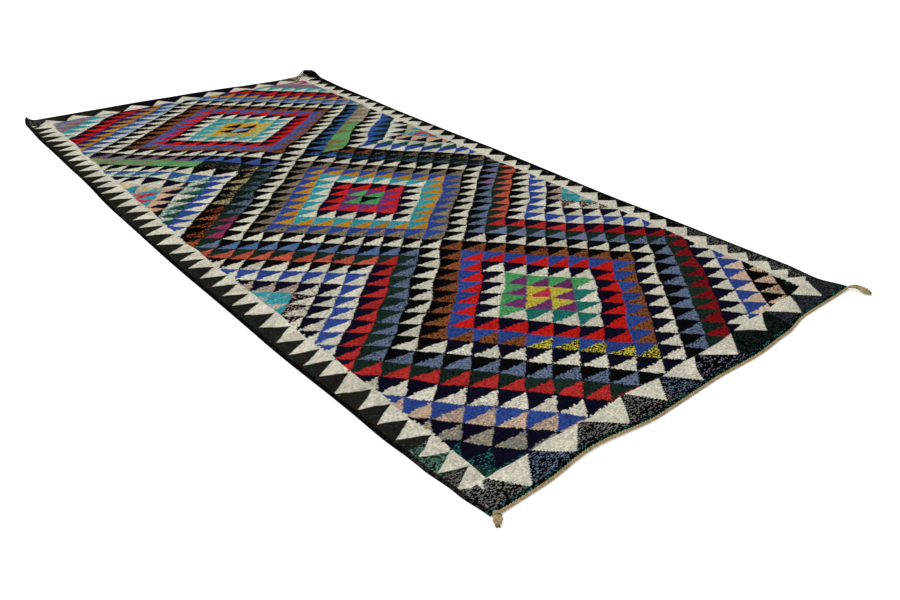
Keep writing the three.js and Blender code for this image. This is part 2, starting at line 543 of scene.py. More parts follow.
def plait_strands(shape, uv, steps, first_tint):
    """Strands that swing from side to side a third of a pitch apart, and pass over one another."""
    for strand in range(STRANDS):
        points = []
        radii = []
        for i, (centre, facing, girth, along) in enumerate(steps):
            forward = (steps[min(i + 1, len(steps) - 1)][0] - steps[max(i - 1, 0)][0]).normalized()
            side = facing.cross(forward).normalized()
            rise = forward.cross(side)
            phase = 2 * math.pi * (along / PLAIT_PITCH + strand / STRANDS)
            swing = SWING * girth * math.sin(phase)
            lift = LIFT * girth * math.sin(2 * phase)
            points.append(centre + side * swing + rise * lift)
            radii.append(STRAND_RADIUS * girth)
        sweep_yarn(shape, uv, points, radii, TINT_STEP * (first_tint + strand))


print("plait", round(2 * (SWING + STRAND_RADIUS) * 1000, 1), "mm wide")

# %% [markdown]
# ## Frayed tails
# Past its last crossing a tail comes apart into the single yarns it was plaited from. They leave
# together, spread and droop, each a little different. A seeded dice gives the same tuft every time. The
# near left tail is bound once more by a knot where it leaves the cloth, which is a few turns of yarn
# round the cord.

# %% Tufts of loose yarn
FRAY_RADIUS = 0.0009
FRAY_POINTS = 9
# share of the radius that a loose yarn has at its root, and the share that it loses on the way
FRAY_ROOT, FRAY_TAPER = 1.15, 0.5
FIRST_FRAY_TINT = 4
FRAY_TINTS = 5
# steps of the plait over which a tail's direction is read
TAIL_STEPS = 3
# how far the roots of a tuft lie inside the plait, and how wide and high they are strewn in it
ROOT_DEPTH, ROOT_WIDE, ROOT_HIGH = 0.006, 0.004, 0.0025
UPWARD_SHARE = 0.6
REACH_SHARES = (0.6, 1.1)
CURL = 0.25
DROOP = 0.25
OFF_FLOOR = 1.2


def tuft(shape, uv, steps, first_tint, at_start, count, length, spread, seed):
    """Loose yarns from one end of a plait, falling to the floor."""
    dice = random.Random(seed)
    last = steps[0] if at_start else steps[-1]
    inner = steps[TAIL_STEPS] if at_start else steps[-1 - TAIL_STEPS]
    way = (last[0] - inner[0]).normalized()
    side = way.cross(Vector((0, 0, 1))).normalized()
    for yarn in range(count):
        drift = side * dice.uniform(-spread, spread)
        drift += Vector((0, 0, dice.uniform(-spread, spread * UPWARD_SHARE)))
        beside = dice.uniform(-ROOT_WIDE, ROOT_WIDE) * last[2]
        above = dice.uniform(-ROOT_HIGH, ROOT_HIGH) * last[2]
        root = last[0] - way * ROOT_DEPTH + side * beside + Vector((0, 0, above))
        reach = length * dice.uniform(*REACH_SHARES)
        curl = dice.uniform(-CURL, CURL)
        points = []
        for i in range(FRAY_POINTS):
            share = i / (FRAY_POINTS - 1)
            point = root + (way + drift * share + side * curl * share * share) * (reach * share)
            point.z -= DROOP * reach * share * share
            point.z = max(point.z, FRAY_RADIUS * OFF_FLOOR)
            points.append(point)
        radii = [FRAY_RADIUS * (FRAY_ROOT - FRAY_TAPER * i / FRAY_POINTS) for i in range(FRAY_POINTS)]
        tint = first_tint + FIRST_FRAY_TINT + yarn % FRAY_TINTS
        sweep_yarn(shape, uv, points, radii, TINT_STEP * tint)


print("loose yarns", round(2000 * FRAY_RADIUS, 1), "mm thick")

# %% A knot round the plait
KNOT_TURNS = 3.2
KNOT_POINTS = 40
KNOT_LENGTH = 0.008
KNOT_WIDER = 1.25
KNOT_YARN_RADIUS = STRAND_RADIUS * 0.8
KNOT_TINT = 3


def knot(shape, uv, steps, at, radius):
    """A few turns of yarn bound round the plait at one of its steps."""
    centre, facing = steps[at][:2]
    forward = (steps[at + 1][0] - steps[at - 1][0]).normalized()
    side = facing.cross(forward).normalized()
    rise = forward.cross(side)
    points = []
    for i in range(KNOT_POINTS):
        share = i / (KNOT_POINTS - 1)
        angle = 2 * math.pi * KNOT_TURNS * share
        out = (side * math.cos(angle) * KNOT_WIDER + rise * math.sin(angle)) * radius
        point = centre + out + forward * (KNOT_LENGTH * (share - 0.5))
        point.z = max(point.z, KNOT_YARN_RADIUS)
        points.append(point)
    sweep_yarn(shape, uv, points, [KNOT_YARN_RADIUS] * KNOT_POINTS, TINT_STEP * KNOT_TINT)


print("knots of", KNOT_TURNS, "turns")

# %% The two plaits
DARK_TINT = 20
NEAR_TUFTS = (
    {"at_start": True, "count": 46, "length": 0.010, "spread": 0.20, "seed": 11},
    {"at_start": False, "count": 56, "length": 0.012, "spread": 0.16, "seed": 12},
)
NEAR_KNOTS = ({"at": 9, "radius": 0.0066},)
FAR_TUFTS = (
    {"at_start": True, "count": 10, "length": 0.010, "spread": 0.35, "seed": 13},
    {"at_start": False, "count": 8, "length": 0.012, "spread": 0.30, "seed": 14},
)


def make_plait(name, steps, first_tint, tufts, knots=()):
    shape = bmesh.new()
    uv = shape.loops.layers.uv.new("yarn")
    plait_strands(shape, uv, steps, first_tint)
    for loose_end in tufts:
        tuft(shape, uv, steps, first_tint, **loose_end)
    for binding in knots:
        knot(shape, uv, steps, **binding)
    plait_mesh = bpy.data.meshes.new(name)
    bmesh.ops.recalc_face_normals(shape, faces=shape.faces)
    shape.to_mesh(plait_mesh)
    shape.free()
    plait = bpy.data.objects.new(name, plait_mesh)
    bpy.context.collection.objects.link(plait)
    for polygon in plait_mesh.polygons:
        polygon.use_smooth = True
    print(name, "has", len(plait_mesh.polygons), "faces")
    return plait


near_plait = make_plait("near_plait", near_steps, 0, NEAR_TUFTS, NEAR_KNOTS)
far_plait = make_plait("far_plait", far_steps, DARK_TINT, FAR_TUFTS)

# %% [markdown]
# ## Writing nodes like sums
# The woven pattern is arithmetic: which triangle a point is in, which ring of a lozenge that triangle
# belongs to, which wool that ring was woven in. In the node editor this is a long chain of Math nodes.
# Here a small class stands for a value in the tree, so that adding two of them adds a node, and the
# chain reads like the sum it is.

# %% Values in a node tree
class Wire:
    def __init__(self, tree, socket):
        self.tree = tree
        self.socket = socket

    def __add__(self, other):
        return reckon("ADD", self, other)

    def __sub__(self, other):
        return reckon("SUBTRACT", self, other)

    def __rsub__(self, other):
        return reckon("SUBTRACT", other, self)

    def __mul__(self, other):
        return reckon("MULTIPLY", self, other)

    def __truediv__(self, other):
        return reckon("DIVIDE", self, other)


def feed(tree, socket, value):
    if isinstance(value, Wire):
        tree.links.new(value.socket, socket)
    else:
        socket.default_value = value


def reckon(operation, *terms):
    tree = next(term.tree for term in terms if isinstance(term, Wire))
    node = tree.nodes.new("ShaderNodeMath")
    node.operation = operation
    for socket, term in zip(node.inputs, terms):
        feed(tree, socket, term)
    return Wire(tree, node.outputs[0])


def whole(value):
    return reckon("FLOOR", value)


def rest(value):
    return reckon("FRACT", value)


def size(value):
    return reckon("ABSOLUTE", value)


def more(first, second):
    return reckon("GREATER_THAN", first, second)


def larger(first, second):
    return reckon("MAXIMUM", first, second)


def wave(value):
    return reckon("SINE", value * (2 * math.pi))


def ranged(value, limits):
    """A value from zero to one, spread between two limits."""
    low, high = limits
    return value * (high - low) + low


print("sums of nodes are ready")

# %% Places and dice
def apart(vector):
    node = vector.tree.nodes.new("ShaderNodeSeparateXYZ")
    feed(vector.tree, node.inputs[0], vector)
    return Wire(vector.tree, node.outputs[0]), Wire(vector.tree, node.outputs[1])


def together(x, y):
    tree = x.tree
    node = tree.nodes.new("ShaderNodeCombineXYZ")
    feed(tree, node.inputs[0], x)
    feed(tree, node.inputs[1], y)
    return Wire(tree, node.outputs[0])


def dice_at(x, y):
    place = together(x, y)
    node = place.tree.nodes.new("ShaderNodeTexWhiteNoise")
    node.noise_dimensions = "2D"
    feed(place.tree, node.inputs["Vector"], place)
    return Wire(place.tree, node.outputs["Value"])


def cloud_at(x, y, scale, detail=1.0):
    place = together(x, y)
    node = place.tree.nodes.new("ShaderNodeTexNoise")
    node.noise_dimensions = "2D"
    node.inputs["Scale"].default_value = scale
    node.inputs["Detail"].default_value = detail
    feed(place.tree, node.inputs["Vector"], place)
    return Wire(place.tree, node.outputs["Fac"])


print("helpers for places and dice are ready")

# %% Colours and curves
# sockets of a Mix node that mixes colours: the two colours that go in, and the one that comes out
MIX_UNDER, MIX_TOP, MIX_RESULT = 6, 7, 2


def over(mask, under, top):
    """One colour laid over another where the mask is one."""
    node = mask.tree.nodes.new("ShaderNodeMix")
    node.data_type = "RGBA"
    feed(mask.tree, node.inputs[0], mask)
    feed(mask.tree, node.inputs[MIX_UNDER], under)
    feed(mask.tree, node.inputs[MIX_TOP], top)
    return Wire(mask.tree, node.outputs[MIX_RESULT])


def chosen(mask, under, top):
    """One value where the mask is zero, the other where it is one."""
    return reckon("MULTIPLY_ADD", mask, top - under, under)


def shaded(colour, shade):
    """A colour made lighter or darker by a value."""
    node = shade.tree.nodes.new("ShaderNodeMix")
    node.data_type = "RGBA"
    node.blend_type = "MULTIPLY"
    node.inputs[0].default_value = 1.0
    feed(shade.tree, node.inputs[MIX_UNDER], colour)
    feed(shade.tree, node.inputs[MIX_TOP], shade)
    return Wire(shade.tree, node.outputs[MIX_RESULT])


def read_curve(value, rows):
    """Reads a table of places and values, straight from row to row."""
    low = rows[0][0]
    high = rows[-1][0]
    least = min(row[1] for row in rows)
    most = max(row[1] for row in rows)
    node = value.tree.nodes.new("ShaderNodeFloatCurve")
    points = node.mapping.curves[0].points
    scaled = [((place - low) / (high - low), (level - least) / (most - least)) for place, level in rows]
    points[0].location = scaled[0]
    points[1].location = scaled[-1]
    for location in scaled[1:-1]:
        points.new(*location)
    for point in points:
        point.handle_type = "VECTOR"
    node.mapping.update()
    feed(value.tree, node.inputs["Value"], (value - low) / (high - low))
    return Wire(value.tree, node.outputs[0]) * (most - least) + least


print("helpers for colours and curves are ready")

# %% Node groups
def new_group(name, takes, gives):
    """An empty node group: its tree, its inputs as wires, and its output node."""
    tree = bpy.data.node_groups.new(name, "ShaderNodeTree")
    for label, kind in takes:
        tree.interface.new_socket(label, in_out="INPUT", socket_type=kind)
    for label, kind in gives:
        tree.interface.new_socket(label, in_out="OUTPUT", socket_type=kind)
    source = tree.nodes.new("NodeGroupInput")
    wires = [Wire(tree, source.outputs[label]) for label, _ in takes]
    return tree, wires, tree.nodes.new("NodeGroupOutput")


def place_group(tree, group, values):
    """Puts a group into a material and feeds its inputs."""
    node = tree.nodes.new("ShaderNodeGroup")
    node.node_tree = group
    for label, value in values.items():
        feed(tree, node.inputs[label], value)
    return {output.name: Wire(tree, output) for output in node.outputs}


print("helpers for node groups are ready")

# %% [markdown]
# ## Spun wool
# Both the weft and the plaits are hand-spun yarn: two plies twisted together, with fibres standing out
# of them. The same effect serves both materials, so it is a node group. Along counts turns of the
# twist, Around counts turns round the yarn, and out come a painted shade to multiply a colour by and a
# height for the bump. The painted shade is darker in the grooves between the plies and where the fibres
# lie low, so it follows the same relief as the height.

# %% Node group for spun yarn
FUZZ_SCALE = 2.0
FUZZ_DETAIL = 2.0
FUZZ_ALONG, FUZZ_AROUND = 1.7, 2.3
# painted shade of the yarn: what the twist of the plies and the fibres add to it, and its least value
PLY_PAINTED_SHADE, FUZZ_PAINTED_SHADE, LEAST_PAINTED_SHADE = 0.14, 0.36, 0.75
PLY_HEIGHT, FUZZ_HEIGHT = 0.6, 0.4

yarn_group, (yarn_along, yarn_around), yarn_out = new_group(
    "spun_yarn",
    (("Along", "NodeSocketFloat"), ("Around", "NodeSocketFloat")),
    (("Shade", "NodeSocketFloat"), ("Height", "NodeSocketFloat")),
)
ply = wave(yarn_along + yarn_around) * 0.5 + 0.5
fuzz = cloud_at(yarn_along * FUZZ_ALONG, yarn_around * FUZZ_AROUND, FUZZ_SCALE, FUZZ_DETAIL)
# the shade output is painted shade: lighter on the ridges of the plies and where the fibres stand up, as
# the height is
feed(yarn_group, yarn_out.inputs["Shade"], ply * PLY_PAINTED_SHADE + fuzz * FUZZ_PAINTED_SHADE + LEAST_PAINTED_SHADE)
feed(yarn_group, yarn_out.inputs["Height"], ply * PLY_HEIGHT + fuzz * FUZZ_HEIGHT)
print("group", yarn_group.name, "has", len(yarn_group.nodes), "nodes")

# %% [markdown]
# ## The dye pots
# The wool was dyed in small lots, so one red is not like the next. Each shade has a plain name and the
# red, green and blue that it shows on a screen, which the shader needs as linear light.

# %% Dyed wools
WOOLS = {
    "cream": (186, 182, 165), "black": (8, 8, 9), "navy": (13, 12, 27), "indigo": (26, 28, 76),
    "blue": (41, 62, 123), "steel": (52, 88, 132), "slate": (84, 96, 118), "red": (168, 27, 21),
    "brick": (156, 40, 38), "oxblood": (112, 18, 22), "salmon": (164, 74, 56), "crimson": (166, 48, 64),
    "yellow": (174, 164, 58), "gold": (158, 112, 34), "purple": (96, 44, 90), "green": (64, 134, 80),
    "teal": (30, 98, 90), "pine": (24, 40, 33), "brown": (114, 66, 38), "taupe": (112, 101, 84),
    "pink": (174, 147, 125), "turquoise": (48, 129, 138), "sky": (120, 139, 158),
    "lavender": (114, 109, 136), "grey": (102, 101, 97), "orange": (154, 76, 42),
    "magenta": (130, 40, 78), "tan": (158, 143, 103), "olive": (102, 96, 66), "blush": (172, 148, 118),
    "umber": (48, 44, 36), "charcoal": (46, 50, 54), "soot": (27, 26, 22), "jade": (76, 112, 99),
}


def dyed(name, share=1.0):
    """The linear colour of a wool, or of a darker lot of it, by the curve that screens use."""
    light = []
    for level in WOOLS[name]:
        value = level / 255
        light.append(share * (value / 12.92 if value <= 0.04045 else ((value + 0.055) / 1.055) ** 2.4))
    return (*light, 1.0)


print(len(WOOLS), "wools")

# %% [markdown]
# ## The field of triangles
# The field is woven in rows of triangles that point in turn to the far and to the near end. Two
# slanting directions cross each row, and which pair of slanting lines a point lies between says which
# triangle it is in. Counting triangles outwards from a middle one gives rings, and each ring is one
# wool: that is the whole lozenge. A few stations say how many rows have been woven by the middle of
# each lozenge and where two of them meet, and how far the sides have crept ahead of the middle there or
# lag behind it. Columns are all one width, a little wider in the third lozenge.

# %% Rows and columns of the field
COLUMN_WIDTH = 0.0931
FIELD_MIDDLE = -0.028
# place along the rug, rows woven by then
ROWS_WOVEN = (
    (-1.55, -12.2), (-0.98, 0), (-0.50, 10), (-0.065, 20), (0.435, 31), (0.555, 33), (0.842, 41),
    (1.55, 57.4),
)
# place along the rug, rows by which that side lags
LEFT_LAG = ((-1.55, 0.3), (-0.95, 1.1), (-0.50, -0.3), (0.45, 0.0), (0.85, 1.1), (1.55, 1.1))
RIGHT_LAG = (
    (-1.55, -1.0), (-0.95, 0.1), (-0.50, -0.4), (0.45, -0.9), (0.555, -1.2), (0.85, 0.6), (1.55, 0.6),
)
# column in which a side lags by that much
SIDE_COLUMN = 7
print(ROWS_WOVEN[-1][1] - ROWS_WOVEN[0][1], "rows in all")

# %% [markdown]
# ## The chart
# Three lozenges follow one another. Their rings are written from the middle outwards. A name such as
# slate+pine is two yarns used together, which gives a speckled cloth, and with a stroke, as in
# slate/pine, the second yarn is only flecked in. The weaver changed wools on the way round, so patches
# name a part of a lozenge and the rings that differ there: near or far half, left or right, towards the
# end or the side, close to the middle line (inner) or to a border (outer).

# %% Rings of the three lozenges
FIRST_LOZENGE = (
    "crimson yellow purple green cream navy red blue brown/black black cream black slate/navy"
    " pine/black brick navy cream blue cream navy cream/grey navy/pink turquoise turquoise+pink turquoise"
)
SECOND_LOZENGE = (
    "black green purple red/crimson navy cream turquoise gold blue taupe/black black cream black slate/pine"
    " pine/black salmon black cream blue cream navy pink+grey turquoise turquoise+pink turquoise"
)
THIRD_LOZENGE = (
    "sky navy gold/yellow turquoise+yellow turquoise cream navy red/oxblood blue/slate brown/black black"
    " cream black slate+cream indigo gold indigo red/oxblood navy cream turquoise brown+lavender"
    " grey+lavender lavender+navy lavender/pink navy crimson"
)
SIDE_MEETING = {
    19: "pine/teal", 20: "cream+teal", 21: "navy", 22: "pink/gold", 23: "turquoise/blue", 24: "crimson",
    25: "turquoise+gold",
}
PATCHES = (
    ("first near", {3: "teal", 9: "navy"}),
    ("first near left end", {8: "black+yellow"}),
    ("first near left", {18: "pink/grey", 20: "grey/tan", 21: "navy", 22: "navy/teal", 23: "pine/teal",
                         24: "pine/teal"}),
    ("first near right", {14: "oxblood/black", 18: "pink/cream", 19: "black", 20: "pink/black", 21: "black",
                          22: "black/teal", 23: "pine/teal"}),
    ("first far right", {12: "slate/lavender", 14: "brick/oxblood"}),
    ("first far right outer", {12: "slate/pine", 14: "oxblood/red"}),
    ("second near left", {13: "slate+steel"}),
    ("second near right outer", {13: "slate/magenta"}),
    ("second far left", {13: "pine+slate", 14: "black+pine", 15: "black+tan", **SIDE_MEETING}),
    ("second far left outer", {13: "magenta+pine", 14: "pine/black", 15: "black+orange"}),
    ("second far right", {13: "pine+slate", 14: "black+pine", 15: "black/taupe", **SIDE_MEETING}),
    ("second far right inner", {13: "navy+steel", 15: "black+brown"}),
    ("second far right side", {13: "pine/slate", 14: "black/pine", 15: "black+taupe"}),
    ("third near left", {13: "grey+purple", 14: "green/brown", 15: "green/taupe", 16: "black", 17: "cream",
                         18: "blue/teal", 19: "cream+teal", 20: "navy", 21: "cream/lavender",
                         22: "tan/cream", 23: "turquoise/blue", 24: "crimson/turquoise", 25: "turquoise"}),
    ("third near left inner", {13: "blue/slate", 14: "black+pine", 15: "black/taupe"}),
    ("third near left outer", {14: "taupe+green", 15: "taupe+green"}),
    ("third near right", {13: "steel+navy", 14: "green+brown", 15: "green/taupe", 16: "black", 17: "cream",
                          18: "blue/steel", 19: "pine/navy", 20: "cream/sky", 21: "navy/pine",
                          22: "tan+turquoise", 23: "turquoise", 24: "crimson/turquoise", 25: "turquoise"}),
    ("third near right outer", {14: "taupe", 15: "taupe/cream"}),
    ("third far left", {13: "sky+cream", 14: "indigo+steel"}),
    ("third far right", {13: "sky+grey", 14: "steel+pine", 15: "gold/orange", 17: "red/oxblood",
                         20: "turquoise/teal", 21: "grey+purple", 22: "grey+magenta", 23: "grey+cream",
                         24: "purple+crimson", 25: "crimson/purple"}),
)
print(len(PATCHES), "patches of changed wool")

# %% Yarns from the chart
RING_STEPS = 32
# share of the second yarn where two are mixed, where one is flecked in, and of a darker lot in a plain wool
MIXED_SHARE = 0.42
FLECK_SHARE = 0.22
PLAIN_SHARE = 0.24
PLAIN_DARKER = 0.52


def yarns_of(names):
    """Main yarn, second yarn and the second one's share, from a name in the chart."""
    for joiner, share in (("+", MIXED_SHARE), ("/", FLECK_SHARE)):
        if joiner in names:
            first, second = names.split(joiner)
            return dyed(first), dyed(second), share
    return dyed(names), dyed(names, PLAIN_DARKER), PLAIN_SHARE


def ring_ramps(ring, rings):
    """Wires for main yarn, second yarn, its share, and one where the ring is among those given."""
    tree = ring.tree
    ramps = []
    for _ in ("main", "second"):
        ramp = tree.nodes.new("ShaderNodeValToRGB")
        ramp.color_ramp.interpolation = "CONSTANT"
        ramp.color_ramp.elements.remove(ramp.color_ramp.elements[1])
        feed(tree, ramp.inputs[0], ring)
        ramps.append(ramp)
    stops = {0, *rings, *(number + 1 for number in rings)} - {RING_STEPS}
    for index, stop in enumerate(sorted(stops)):
        main, second, share = yarns_of(rings.get(stop, "black"))
        shown = 1.0 if stop in rings else 0.0
        for ramp, colour, alpha in zip(ramps, (main, second), (shown, share)):
            if index:
                ramp.color_ramp.elements.new(stop / RING_STEPS)
            ramp.color_ramp.elements[index].color = (*colour[:3], alpha)
    return [Wire(tree, ramps[i].outputs[j]) for i, j in ((0, 0), (1, 0), (1, 1), (0, 1))]


print("rings up to", RING_STEPS - 1, "can be told apart")

# %% [markdown]
# ## The borders
# Cream teeth on a dark ground run round the field. The sides have a tooth every 7 cm or so, pointing
# outwards, the near end has nine broad ones, and the far end eleven smaller. A tooth is the part of the
# border that is nearer to the field than a line that rises and falls as the teeth are counted off along
# the edge. A weaver counts by eye, so the count wanders slowly ahead and behind, and near teeth differ
# in length by a dice for each.

# %% Teeth counted off along the edges
LEFT_PITCH = 0.0692
RIGHT_PITCH = 0.0738
NEAR_PITCH = 0.1483
FAR_PITCH = 0.128
FIRST_SIDE_TOOTH = -1.413
FIRST_NEAR_TOOTH = -0.675
FIRST_FAR_TOOTH = -0.714
COUNT_WANDER = 1.0
WANDER_SCALE = 2.5
# edges of the field: for the left and the near one, which bow, places along the edge and where it is there
FIELD_LEFT = ((-1.55, -0.664), (0.10, -0.684), (1.55, -0.643))
FIELD_RIGHT = 0.617
FIELD_NEAR = ((-0.80, -1.383), (0.06, -1.406), (0.80, -1.383))
FIELD_FAR = 1.400


def teeth_by(place, first, pitch):
    """Teeth counted off by a place along an edge."""
    return (place - first) / pitch + (cloud_at(place, first, WANDER_SCALE) - 0.5) * COUNT_WANDER


def tooth_line(count):
    """One at the tip of each tooth, falling to zero between two of them."""
    return 1.0 - size(rest(count) - 0.5) * 2


print("teeth down the left side:", round(2 * HALF_LENGTH / LEFT_PITCH))

# %% [markdown]
# ## The chart as a node group
# Now the sums. The place on the flat cloth is first shaken a little, as a hand-woven line is, and taken
# in steps a little wider than a rib of the weave, which gives the slanting edges their small teeth.
# Then come triangle, ring and wool, the borders over them, and last the choice between the two yarns
# for every single stitch of weft.

# %% Place on the loom
RIB = 0.0044
WEFT = 0.0019
RAGGED = 0.006
LOOM_STEP = 0.0052
LOOM_SHAKE = 0.026
SHAKE_SCALE = 6.0
# how far apart the clouds for the two directions are read, and the dice's row for ragged lines
SHAKE_APART = 7.0
RAGGED_DICE = 3.5

chart, (chart_place, chart_edges), chart_out = new_group(
    "kilim_chart",
    (("Place", "NodeSocketVector"), ("Edges", "NodeSocketVector")),
    (("Wool", "NodeSocketColor"), ("Rib", "NodeSocketFloat")),
)
flat_x, flat_y = apart(chart_place)
side_gap, end_gap = apart(chart_edges)
rib_number = whole(flat_x / RIB)
weft_place = flat_y / WEFT + rib_number * 0.5
stitch_dice = dice_at(rib_number, whole(weft_place))
ragged = (dice_at(whole(flat_x / LOOM_STEP), RAGGED_DICE) - 0.5) * RAGGED
shaken_x = flat_x + (cloud_at(flat_x, flat_y, SHAKE_SCALE) - 0.5) * LOOM_SHAKE
loom_x = (whole(shaken_x / LOOM_STEP) + 0.5) * LOOM_STEP
loom_y = flat_y + (cloud_at(flat_x + SHAKE_APART, flat_y, SHAKE_SCALE) - 0.5) * LOOM_SHAKE
ragged_y = loom_y + ragged
print("loom step", LOOM_STEP)

# %% Triangle and ring
# dark triangles, which point to the far end, take this share of a row from the pale ones
DARK_GAIN = 0.05
# rows at which the first and the second lozenge end, and rows from one lozenge's middle to the next one's
FIRST_ENDS, SECOND_ENDS = 10.0, 30.5
TO_SECOND, TO_THIRD = 19, 22
# the third lozenge's columns are wider by this share
THIRD_WIDER = 0.05
# keeps the dice of a triangle that points far apart from its neighbour's
FAR_DICE = 0.37

from_middle = (loom_x - FIELD_MIDDLE) / COLUMN_WIDTH
on_right = more(from_middle, 0.0)
lag = chosen(on_right, read_curve(loom_y, LEFT_LAG), read_curve(loom_y, RIGHT_LAG))
row_place = read_curve(ragged_y, ROWS_WOVEN) - size(from_middle) * lag / SIDE_COLUMN
past_first = more(row_place, FIRST_ENDS)
past_second = more(row_place, SECOND_ENDS)
column_place = from_middle * (1.0 - past_second * THIRD_WIDER)
leaning_left = column_place - row_place * 0.5
leaning_right = column_place + row_place * 0.5
left_line = whole(leaning_left)
right_line = whole(leaning_right)
points_far = more(rest(leaning_right) + DARK_GAIN, rest(leaning_left))
half = points_far * 0.5 - past_first * 0.5
lines_passed = past_first * (TO_SECOND // 2) + past_second * (TO_THIRD // 2)
left_count = size(left_line + 1.0 + lines_passed - half)
right_count = size(right_line - lines_passed + half)
ring = (larger(left_count, right_count) * 2 + 0.5) / RING_STEPS
triangle_dice = dice_at(left_line + points_far * FAR_DICE, right_line)
row_number = whole(row_place) - past_first * TO_SECOND - past_second * TO_THIRD
column_number = left_line + right_line + 1.0
print("triangles are counted in", len(chart.nodes), "nodes")

# %% Wool of each ring
INNER_COLUMN = 7
OUTER_COLUMN = 9

towards_end = more(size(row_number) + 0.5, size(column_number))
PARTS = {
    "first": 1.0 - past_first,
    "second": past_first - past_second,
    "third": past_second,
    "near": more(0.0, row_number),
    "far": more(row_number, 0.0),
    "left": more(0.5, column_number),
    "right": more(column_number, 0.0),
    "end": towards_end,
    "side": 1.0 - towards_end,
    "inner": more(INNER_COLUMN, size(column_number)),
    "outer": more(size(column_number), OUTER_COLUMN),
}
LOZENGES = {"first": FIRST_LOZENGE, "second": SECOND_LOZENGE, "third": THIRD_LOZENGE}


def all_rings(name):
    rings = LOZENGES[name].split()
    return {number: rings[min(number, len(rings) - 1)] for number in range(RING_STEPS)}


wool, speck, share, _ = ring_ramps(ring, all_rings("first"))
layers = [(name, all_rings(name)) for name in ("second", "third")] + list(PATCHES)
print(len(layers), "layers of wool to lay")

# %% Lay the patches over the rings
# the second yarn's share differs from triangle to triangle by a factor between these, by a dice of its own
SHARE_FACTORS = (0.4, 1.6)
SHARE_DICE = 0.41

for where, rings in layers:
    layer_wool, layer_speck, layer_share, mask = ring_ramps(ring, rings)
    for part in where.split():
        mask = mask * PARTS[part]
    wool = over(mask, wool, layer_wool)
    speck = over(mask, speck, layer_speck)
    share = chosen(mask, share, layer_share)
share = share * ranged(dice_at(right_line + points_far * SHARE_DICE, left_line), SHARE_FACTORS)
print("field in", len(chart.nodes), "nodes")

# %% Borders over the field
LEFT_BAND = 0.005
LEFT_TOOTH = 0.070
RIGHT_BAND = 0.018
RIGHT_TOOTH = 0.054
NEAR_TOOTH = 0.060
NEAR_TOOTH_EXTRA = 0.022
FAR_TOOTH = 0.062
# teeth at the ends start this share of their length inside the field, which leaves gaps between them
TOOTH_SINK = 0.12
EDGE_RAGGED = 0.004
EDGE_STEP = 0.006
EDGE_DICE = 7.5
TOOTH_DICE = 0.7
# middle of the rows of teeth at the ends, and how far they reach from it
NEAR_TEETH_MIDDLE, NEAR_TEETH_REACH = -0.012, 0.678
FAR_TEETH_MIDDLE, FAR_TEETH_REACH = -0.010, 0.712

edge_ragged = (dice_at(whole(flat_y / EDGE_STEP), EDGE_DICE) - 0.5) * EDGE_RAGGED
beside_left = read_curve(loom_y, FIELD_LEFT) - loom_x
beside_right = loom_x - FIELD_RIGHT
beside = larger(beside_left, beside_right) + edge_ragged
left_teeth = teeth_by(loom_y, FIRST_SIDE_TOOTH, LEFT_PITCH)
right_teeth = teeth_by(loom_y, FIRST_SIDE_TOOTH, RIGHT_PITCH)
side_tooth = tooth_line(chosen(on_right, left_teeth, right_teeth))
side_depth = side_tooth * chosen(on_right, LEFT_TOOTH, RIGHT_TOOTH)
side_depth = side_depth + chosen(on_right, LEFT_BAND, RIGHT_BAND)
in_side = more(beside, 0.0)
side_cream = more(side_depth, beside)

before_near = read_curve(loom_x, FIELD_NEAR) - loom_y
near_count = teeth_by(loom_x, FIRST_NEAR_TOOTH, NEAR_PITCH)
near_tooth = tooth_line(near_count) * (1 + TOOTH_SINK) - TOOTH_SINK
near_depth = near_tooth * (dice_at(whole(near_count), TOOTH_DICE) * NEAR_TOOTH_EXTRA + NEAR_TOOTH)
in_near = more(before_near, 0.0)
near_within = more(NEAR_TEETH_REACH, size(loom_x - NEAR_TEETH_MIDDLE))
near_cream = more(near_depth, before_near) * near_within

past_far = loom_y - FIELD_FAR
far_count = teeth_by(loom_x, FIRST_FAR_TOOTH, FAR_PITCH)
far_tooth = tooth_line(far_count) * (1 + TOOTH_SINK) - TOOTH_SINK
in_far = more(past_far, 0.0)
far_within = more(FAR_TEETH_REACH, size(loom_x - FAR_TEETH_MIDDLE))
far_cream = more(far_tooth * FAR_TOOTH, past_far) * far_within
print("borders in", len(chart.nodes), "nodes")

# %% Yarns of the dark ends
# from this place across the rug, the yarn flecked into the near end's black, and its share
NEAR_GROUND = (
    (-0.62, "slate", 0.30), (-0.44, "grey", 0.30), (-0.14, "slate", 0.26), (0.0, "lavender", 0.14),
    (0.16, "pine", 0.26), (0.39, "charcoal", 0.55),
)
# from this place across the rug, the yarn flecked into the far end's black, and its share
FAR_GROUND = (
    (-0.64, "umber", 0.30), (-0.30, "navy", 0.40), (0.30, "umber", 0.30), (0.50, "taupe", 0.42),
    (0.585, "cream", 0.36), (0.675, "umber", 0.10),
)
# share of the grey yarn in the left corner of each end, before those stretches
NEAR_GREY, FAR_GREY = 0.32, 0.20


def ground_along(stretches, first_name, first_share):
    """Second yarn and its share, changing from stretch to stretch across the rug."""
    yarn = dyed(first_name)
    amount = first_share
    for start, name, stretch_share in stretches:
        past_start = more(flat_x, start)
        yarn = over(past_start, yarn, dyed(name))
        amount = chosen(past_start, amount, stretch_share)
    return yarn, amount


near_speck, near_share = ground_along(NEAR_GROUND, "grey", NEAR_GREY)
far_speck, far_share = ground_along(FAR_GROUND, "grey", FAR_GREY)
print(len(NEAR_GROUND), "changes of yarn along the near end")

